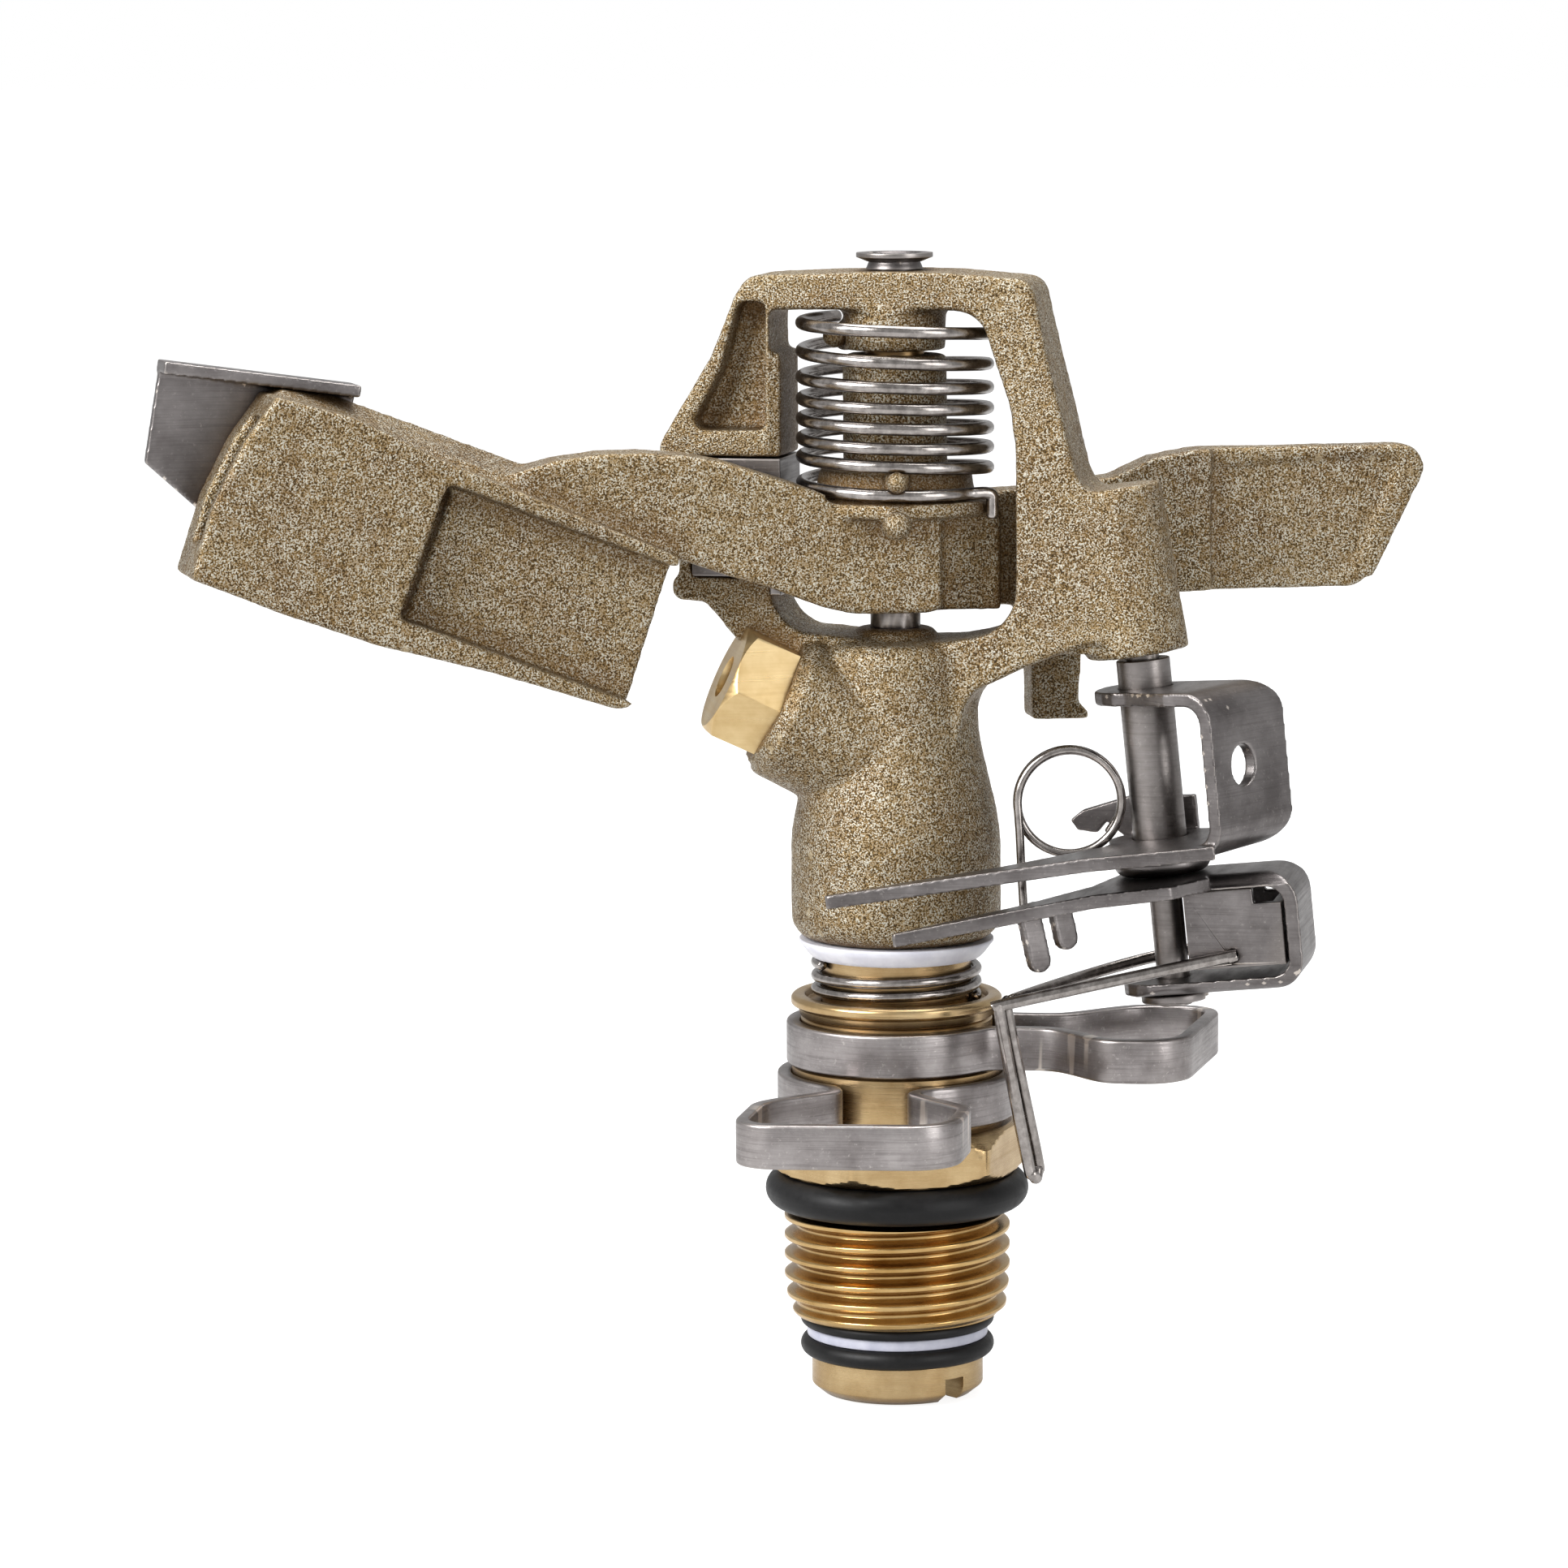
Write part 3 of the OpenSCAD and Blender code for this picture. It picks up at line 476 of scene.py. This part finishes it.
for name in ("head_casting", "arm_casting"):
    cast_skin(name)
for name, material, width in (("nozzle", nozzle_brass, 0.2), ("bearing_nipple", brass, 0.15),
                              ("spring_seat_washer", brass, 0.12), ("arm_bushings", brass, 0.15),
                              ("dust_washer", nylon, 0.12), ("bearing_slip_washer", slip_nylon, 0.12)):
    soft_edges(name, material, width)
for name in ("riser_seal", "lower_bearing_seal", "upper_bearing_seal"):
    paint(name, rubber)
for name in ("fulcrum_pin", "trip_pin", "trip_spacer", "trip_thrust_washer", "deflector_rivets"):
    soft_edges(name, pin_steel, 0.12)
for name in ("strike_plate", "trip_wire_holder", "trip_pin_clip"):
    soft_edges(name, steel, 0.2, 3)
for name in ("stream_deflector", "trip_lever", "trip_dog"):
    round_skin(name, steel, 0.15, 6)


# ---------------------------------------------------------------- inlet body with a helical thread

def inlet_body():
    """Thread, hexagon and sleeve as one turned piece, with real threads climbing round it."""
    lo, hi = box_mm("bearing_sleeve")
    bottom, top = lo[2], hi[2]
    bore, neck, sleeve, sleeve_top = 6.95, 8.85, 9.7, 10.0
    hex_r, hex_top, hex_turn = 11.0, 4.7, math.radians(22)
    thread_mount = next(m for m in record["mounts"] if m["name"] == "inlet_thread")
    pitch, thread_top, thread_rows = 1.814, -3.45, 200
    depth = 0.64 * pitch
    root = thread_mount["dims"]["r_mm"] - depth

    def ridge(z, a):
        """Radius of the thread surface: a rounded ridge climbing one pitch a turn."""
        phase = ((z - bottom) / pitch - a / TURN) % 1.0
        tooth = 1 - abs(2 * phase - 1)
        tooth = 0.5 - 0.5 * math.cos(math.pi * clamp((tooth - 0.08) / 0.8))
        run_out = clamp((thread_top - z) / 0.5)
        lead_in = clamp((z - bottom + 0.15) / 0.9) ** 0.7
        taper = min(1.0, 0.62 + 0.38 * (z - bottom) / 3.6)
        return root + depth * tooth * run_out * lead_in * taper

    def hexagon(z, a):
        """Radius of the hexagon, with chamfered corners and a blunt edge between the flats."""
        half = math.radians(30)
        t = (a - hex_turn) % (2 * half) - half
        blunt = hex_r / math.cos(half) - 0.12
        cone_top = hex_r - 0.35 + (hex_top - z) * 1.5
        cone_low = hex_r - 0.1 + z * 1.6
        return min(hex_r / math.cos(t), blunt, cone_top, cone_low)

    def fixed(*pairs):
        return [("fixed", r, z) for r, z in pairs]

    loop = fixed((bore, bottom + 0.25), (bore + 0.25, bottom), (root - 0.6, bottom))
    for i in range(thread_rows + 1):
        loop.append(("thread", 0, bottom + 0.02 + (thread_top - bottom - 0.02) * i / thread_rows))
    loop += fixed((root + 0.02, thread_top + 0.02), (neck, thread_top + 0.1), (neck, -0.05),
                  (hex_r - 0.3, 0.0))
    for z in (0.0, 0.2, 0.4, 0.6, 0.8, 1.1, 2.5, 3.4, 3.7, 4.0, 4.2, 4.4, 4.55, hex_top):
        loop.append(("hex", 0, z))
    loop += fixed((sleeve, hex_top + 0.001), (sleeve, sleeve_top - 0.2), (sleeve - 0.2, sleeve_top),
                  (neck, sleeve_top), (neck, top - 0.3), (neck - 0.25, top), (bore + 0.2, top),
                  (bore, top - 0.2))

    def around(level, a):
        kind, r, z = level
        if kind == "thread":
            r = ridge(z, a)
        elif kind == "hex":
            r = hexagon(z, a)
        return r, z

    verts, faces = revolve(loop, around, 240)
    obj = mesh_object("inlet_body", verts, faces, brass, 32)
    obj.data.materials.append(thread_brass)
    for p in obj.data.polygons:
        if p.center.z < -2.0 * MM:
            p.material_index = 1
    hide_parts("bearing_sleeve")
    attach(obj, "inlet")


inlet_body()


# ---------------------------------------------------------------- arc collars

STRAP = 1.3         # thickness of a collar's strap


def collar_path(grip, neck_end):
    """Centre line of the strap in plan: round the sleeve, out along the neck and round the ear."""
    half_strap = STRAP / 2
    ring, neck, ear, corner, reach = grip + 0.05 + half_strap, 4.3, 10.0, 4.0, 28.6
    meet = math.asin((neck - half_strap) / ring)
    half = [polar(ring, a) for a in np.linspace(math.pi, meet + 0.09, 60)]
    half += [(ring * math.cos(meet) + 1.3, neck - half_strap - 0.05),
             (ring * math.cos(meet) + 2.4, neck - half_strap)]
    end = reach - corner
    for d in np.arange(half[-1][0] + 0.8, end, 0.5):
        half.append((d, neck + (ear - neck) * ease((d - neck_end) / 8) - half_strap))
    half += [(end + (corner - half_strap) * math.cos(a), ear - corner + (corner - half_strap) * math.sin(a))
             for a in np.linspace(math.radians(86), 0, 12)]
    loop = half + [(d, -t) for d, t in reversed(half)][:-1]
    skew = math.tan(math.radians(7))
    return np.array([(d - skew * t * ease((d - 14) / 11), t) for d, t in loop])


def even_loop(loop, spacing=0.3, width=1.5):
    """Closed curve resampled at even steps and softened over the given width."""
    gaps = np.linalg.norm(np.roll(loop, -1, axis=0) - loop, axis=1)
    walk = np.concatenate([[0], np.cumsum(gaps)])
    closed = np.vstack([loop, loop[:1]])
    marks = np.linspace(0, walk[-1], int(walk[-1] / spacing), endpoint=False)
    even = np.column_stack([np.interp(marks, walk, closed[:, k]) for k in (0, 1)])
    reach = int(width / spacing)
    kernel = np.hanning(2 * reach + 1)
    kernel /= kernel.sum()
    return sum(weight * np.roll(even, k - reach, axis=0) for k, weight in enumerate(kernel))


def collar(node, body, grip, neck_end, direction_deg, mirrored):
    """Strap with rounded edges swept along its centre line; its ear points in the given direction."""
    lo, hi = box_mm(node)
    loop = even_loop(collar_path(grip, neck_end))
    if mirrored:
        loop = loop * [1, -1]
    turn = math.radians(direction_deg)
    spin = np.array([[math.cos(turn), -math.sin(turn)], [math.sin(turn), math.cos(turn)]])
    loop = loop @ spin.T
    middle_z, half_height, edge = (lo[2] + hi[2]) / 2, (hi[2] - lo[2]) / 2, 0.28
    section = []
    for x_sign, z_sign, first_deg in ((1, 1, 0), (-1, 1, 90), (-1, -1, 180), (1, -1, 270)):
        for k in range(4):
            dx, dz = polar(edge, math.radians(first_deg + 30 * k))
            section.append((x_sign * (STRAP / 2 - edge) + dx, z_sign * (half_height - edge) + dz))
    n = len(loop)
    verts = []
    for i in range(n):
        along = unit(loop[(i + 1) % n] - loop[i - 1])
        side = np.array([along[1], -along[0]])
        for x, z in section:
            x += 0.02 * noise.noise(Vector((*loop[i] * 0.5, z)))
            verts.append((*(loop[i] + side * x), middle_z + z))
    faces = skin(n, len(section), closed=True, flip=True)
    obj = mesh_object(node + "_strap", verts, faces, collar_steel, ALL_SMOOTH)
    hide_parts(node)
    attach(obj, body)


collar("upper_arc_collar", "upper_collar", 8.85, 14, 4, True)
collar("lower_arc_collar", "lower_collar", 9.7, 11, -89, False)


# ---------------------------------------------------------------- springs and wires

def wire_piece(name, path, radius, node):
    verts, faces = tube(path, radius)
    obj = mesh_object(name, verts, faces, spring_mat, 60)
    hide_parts(node)
    return obj


def arm_spring():
    """Torsion spring round the hub: close turns below, open turns above, hooked on the arm."""
    r_wire, turns, height, per = 0.58, 7.4, 15.5, 50
    r = box_mm("arm_spring")[1][1] - r_wire
    z_low = 62.5 + r_wire + 0.02
    steps = range(-7, int(turns * per) + 1)
    rise = np.interp([i / per for i in steps], [0, 1, 2, 3, 4, 5, 6, 7, turns],
                     [0, 2.7, 4.3, 6.1, 7.9, 9.8, 12.0, 14.9, height])
    half_window = 12
    kernel = np.hanning(2 * half_window + 1)
    padded = np.concatenate([np.full(half_window, rise[0]), rise, np.full(half_window, rise[-1])])
    rise = np.convolve(padded, kernel / kernel.sum(), "valid")
    coil = [(*polar(r, PEG_TURN - math.radians(360 * i / per)), z_low + z) for i, z in zip(steps, rise)]
    hook, a = r + 1.38, math.radians(-16)
    lead = spline([(*polar(hook, a), z_low - 2.3), (*polar(hook, a), z_low - 0.9),
                   (*polar(hook - 0.15, a - 0.02), z_low - 0.05), coil[0]], 5)[:-1]
    obj = wire_piece("arm_spring_coil", lead + coil, r_wire, "arm_spring")
    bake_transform(obj)


def bearing_spring():
    """Short compression spring under the dust washer."""
    lo, hi = box_mm("bearing_spring")
    r_wire, turns, per = 0.46, 2.6, 48
    r = hi[0] - r_wire
    low, high = lo[2] + r_wire, hi[2] - r_wire
    n = int(turns * per)
    path = [(*polar(r, TURN * turns * i / n), low + (high - low) * i / n) for i in range(n + 1)]
    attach(wire_piece("bearing_spring_coil", path, r_wire, "bearing_spring"), "head")


pivot = joints["trip_lever_pivot"]
trip = frame_matrix(np.array(pivot["pos_m"]) / MM, pivot["axis"])


def trip_wire():
    """Hairpin wire: both ends in the holder, the leg hanging between the collar ears."""
    r = 0.55
    y0, z0 = 4.9 + r, -27.3
    bend, foot, lap = np.array([-14.2, -11.2, -29.2]), np.array([-13.1, -9.2, -45.3]), np.array([0.3, 1.1, 0])
    front = [(6.2, 2.2, z0), (6.2, y0 - 1.2, z0), (6.0, y0 - 0.3, z0), (5.2, y0, z0),
             (-1, y0 - 0.7, z0 - 0.7), (-4.5, 3.4, z0 - 1.1), (-8.5, -0.6, z0 - 1.5)]
    down = [bend + lap + v for v in ([1.4, 1.6, 0.25], [0.3, 0.3, -0.1], [0.1, 0, -1.2])]
    loop = [foot + lap + [0, 0, 1.6], foot + lap * 0.85 + [0, 0, 0.3], foot + lap * 0.5 + [0.0, 0.0, -0.4],
            foot + [0, 0, 0.1], foot + [-0.35, -0.2, 1.4]]
    up = [bend + v for v in ([-0.1, 0, -1.3], [0.1, 0.1, -0.3], [1, 0.3, 0.05])]
    back = [(5.0, -y0, z0), (6.0, 0.3 - y0, z0), (6.2, 1.2 - y0, z0), (6.2, -2.2, z0)]
    path = spline(at(trip, front + down + loop + up + back), 8)
    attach(wire_piece("trip_wire_rod", path, r, "trip_wire"), "lever")


def toggle_spring():
    """One loop and a half of wire between the brackets, with a long leg hanging down."""
    r_wire, r_coil, coils, pitch, per = 0.4, 4.75, 1.58, 0.95, 60
    centre, turn = np.array([-7.4, -3.4, -12.3]), math.radians(12)
    local = [(-r_coil - 0.4, 0, -9.8), (-r_coil - 0.25, 0, -6), (-r_coil - 0.05, 0, -2.2)]
    for i in range(int(coils * per) + 1):
        x, z = polar(r_coil, math.pi - TURN * i / per)
        local.append((x, pitch * i / per, z))
    local.append((0.68 * r_coil, pitch * coils + 0.02, -0.7 * r_coil))
    rot = np.array([[math.cos(turn), -math.sin(turn), 0], [math.sin(turn), math.cos(turn), 0], [0, 0, 1]])
    path = at(trip, [rot @ np.array(p) + centre for p in local])
    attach(wire_piece("toggle_spring_ring", path, r_wire, "toggle_spring"), "lever")


def ball_heads(name, body, balls):
    """Round heads of cast pegs, as (centre, radius) pairs, on one body."""
    rings, segs = 13, 24
    verts, faces = [], []
    for centre, size in balls:
        faces += skin(rings, segs, first=len(verts), flip=True)
        for i in range(rings):
            tilt = math.pi * (0.02 + 0.96 * i / (rings - 1))
            for k in range(segs):
                x, y = polar(math.sin(tilt), TURN * k / segs)
                verts.append(np.array(centre) + size * np.array([x, y, math.cos(tilt)]))
    obj = mesh_object(name, verts, faces, bronze, ALL_SMOOTH)
    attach(obj, body)


ball_heads("arm_peg_heads", "arm", [((*polar(9.35, PEG_TURN), 64.45), 0.95),
                                    ((*polar(9.2, PEG_TURN), 60.6), 1.35)])
ball_heads("head_peg_head", "head", [((-5.2, -1.8, 77.2), 1.1)])
arm_spring()
bearing_spring()
trip_wire()
toggle_spring()


# ---------------------------------------------------------------- floor, light and camera

def stage():
    """Pale paper floor that stays white to the camera and lights the object softly from below."""
    size, z = 6.0, cad_lo.z - 0.2 * MM
    me = bpy.data.meshes.new("floor")
    corners = [(-size, -size, z), (size, -size, z), (size, size, z), (-size, size, z)]
    me.from_pydata(corners, [], [(0, 1, 2, 3)])
    floor = bpy.data.objects.new("floor", me)
    bpy.context.scene.collection.objects.link(floor)
    g = Graph("floor_paper", 0.0, 0.9)
    grey, pale, black = (0.84, 0.84, 0.84, 1), (0.88, 0.88, 0.88, 1), (0, 0, 0, 1)
    col = g.ramp(g.noise(0.02, 3, 0.55), (0.3, grey), (0.7, pale))
    g.put(g.bsdf.inputs["Emission Color"], col)
    seen = g.nt.nodes.new("ShaderNodeLightPath").outputs["Is Camera Ray"]
    glow, glow_seen = 0.42, 1.0
    g.put(g.bsdf.inputs["Emission Strength"], g.span(seen, 0, 1, glow, glow_seen))
    me.materials.append(g.done(g.mix(0.6, col, black)))


def world():
    """White backdrop for the camera, half as bright for everything else."""
    w = bpy.data.worlds.new("studio")
    bpy.context.scene.world = w
    w.use_nodes = True
    nt = w.node_tree
    nt.nodes.clear()
    out = nt.nodes.new("ShaderNodeOutputWorld")
    mix = nt.nodes.new("ShaderNodeMixShader")
    path = nt.nodes.new("ShaderNodeLightPath")
    nt.links.new(path.outputs["Is Camera Ray"], mix.inputs[0])
    for socket, strength in ((1, 0.5), (2, 1.0)):
        background = nt.nodes.new("ShaderNodeBackground")
        background.inputs["Color"].default_value = (1, 1, 1, 1)
        background.inputs["Strength"].default_value = strength
        nt.links.new(background.outputs[0], mix.inputs[socket])
    nt.links.new(mix.outputs[0], out.inputs[0])


def softbox(name, place, size, watts):
    """Rectangular lamp, in metres, that faces the middle of the object."""
    light = bpy.data.lights.new(name, "AREA")
    light.shape = "RECTANGLE"
    light.size, light.size_y = size
    light.energy = watts
    obj = bpy.data.objects.new(name, light)
    bpy.context.scene.collection.objects.link(obj)
    obj.location = place
    obj.rotation_euler = (Vector(place) - (cad_lo + cad_hi) / 2).to_track_quat("Z", "Y").to_euler()


def camera():
    """Product view from the front, a little to the right and above; distances in metres."""
    azimuth, elevation, roll = math.radians(12), math.radians(7.68), math.radians(-0.3)
    distance, aim_across, aim_height = 0.5562, -0.0103, 0.03595
    target = Vector((math.cos(azimuth) * aim_across, math.sin(azimuth) * aim_across, aim_height))
    back = Vector((math.sin(azimuth) * math.cos(elevation), -math.cos(azimuth) * math.cos(elevation),
                   math.sin(elevation)))
    data = bpy.data.cameras.new("camera")
    data.sensor_width = 36
    data.lens = 138.75
    data.clip_start, data.clip_end = 0.01, 50
    cam = bpy.data.objects.new("camera", data)
    bpy.context.scene.collection.objects.link(cam)
    cam.location = target + back * distance
    level = back.to_track_quat("Z", "Y").to_matrix()
    cam.rotation_euler = (level @ Matrix.Rotation(roll, 3, "Z")).to_euler()
    bpy.context.scene.camera = cam


stage()
world()
softbox("key", (-0.42, -0.5, 0.42), (0.42, 0.42), 7.5)
softbox("fill", (0.6, -0.35, 0.2), (0.3, 0.5), 1.5)
softbox("top", (0.0, 0.1, 0.7), (0.6, 0.4), 5)
camera()
bpy.context.scene.view_settings.view_transform = "Standard"
